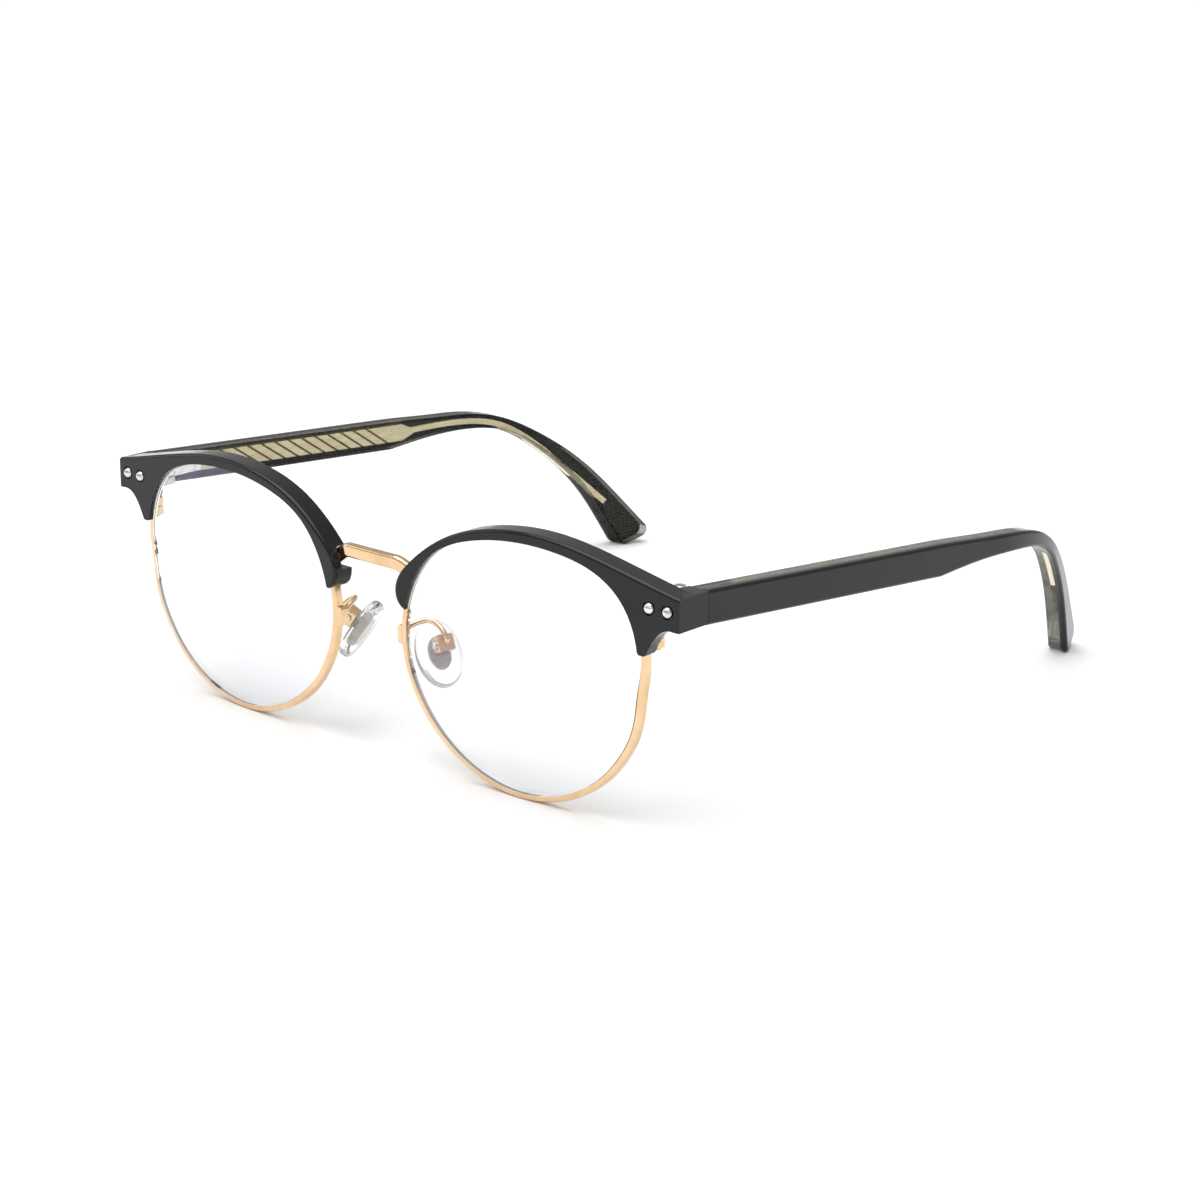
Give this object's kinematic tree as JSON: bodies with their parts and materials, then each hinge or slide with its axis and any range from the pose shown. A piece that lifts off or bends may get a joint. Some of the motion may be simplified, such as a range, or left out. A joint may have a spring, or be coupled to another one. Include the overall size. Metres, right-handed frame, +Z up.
{
  "type": "browline eyeglasses",
  "caption": "Eyeglasses with metal eye rims under plastic brows, clear lenses, rocking nose pads and folding laminated temples.",
  "frame": {"origin": "centre of the open glasses' box, at the height of the surface that they stand on", "axes": "+X towards the wearer's left, -Y to the front, +Z up"},
  "size_m": [0.1432, 0.1394, 0.0471],
  "materials": {
    "gold": "polished champagne gold plating",
    "core_gold": "pale gold wire core with diagonal grooves",
    "silver": "polished nickel silver",
    "lens": "clear with a faint violet anti-reflection tint",
    "brow_black": "polished black acetate",
    "temple_black": "polished black acetate",
    "temple_clear": "clear smoky acetate",
    "silicone": "clear soft silicone",
    "pad_insert": "translucent grey"
  },
  "bodies": {
    "front": {"bridge": "gold", "rim_left": "gold", "rim_right": "gold", "lens_left": "lens", "lens_right": "lens", "brow_left": "brow_black", "brow_right": "brow_black", "rivets_left": "silver", "rivets_right": "silver", "hinge_plate_left": "silver", "hinge_plate_right": "silver", "hinge_screw_left": "silver", "hinge_screw_right": "silver", "rim_lock_upper_left": "gold", "rim_lock_upper_right": "gold", "rim_lock_lower_left": "gold", "rim_lock_lower_right": "gold", "rim_lock_screw_left": "silver", "rim_lock_screw_right": "silver", "pad_arm_left": "gold", "pad_arm_right": "gold", "pad_box_left": "gold", "pad_box_right": "gold", "pad_screw_left": "silver", "pad_screw_right": "silver"},
    "temple_left": {"temple_skin_left": "temple_black", "temple_liner_left": "temple_clear", "temple_core_left": "core_gold", "temple_hinge_left": "silver"},
    "temple_right": {"temple_skin_right": "temple_black", "temple_liner_right": "temple_clear", "temple_core_right": "core_gold", "temple_hinge_right": "silver"},
    "nose_pad_left": {"pad_left": "silicone", "pad_insert_left": "pad_insert"},
    "nose_pad_right": {"pad_right": "silicone", "pad_insert_right": "pad_insert"}
  },
  "joints": [
    {"name": "temple_left_fold", "type": "hinge", "parent": "front", "child": "temple_left", "pos_m": [0.06259, -0.05965, 0.03903], "axis": [0, 0, 1], "range_deg": [0, 87]},
    {"name": "temple_right_fold", "type": "hinge", "parent": "front", "child": "temple_right", "pos_m": [-0.06259, -0.05965, 0.03903], "axis": [0, 0, -1], "range_deg": [0, 71]},
    {"name": "pad_left_rock", "type": "hinge", "parent": "front", "child": "nose_pad_left", "pos_m": [0.01201, -0.06155, 0.02122], "axis": [0.3591, 0.9333, -0.0002], "range_deg": [-8, 8]},
    {"name": "pad_right_rock", "type": "hinge", "parent": "front", "child": "nose_pad_right", "pos_m": [-0.01201, -0.06155, 0.02122], "axis": [0.3591, -0.9333, 0.0002], "range_deg": [-8, 8]}
  ]
}
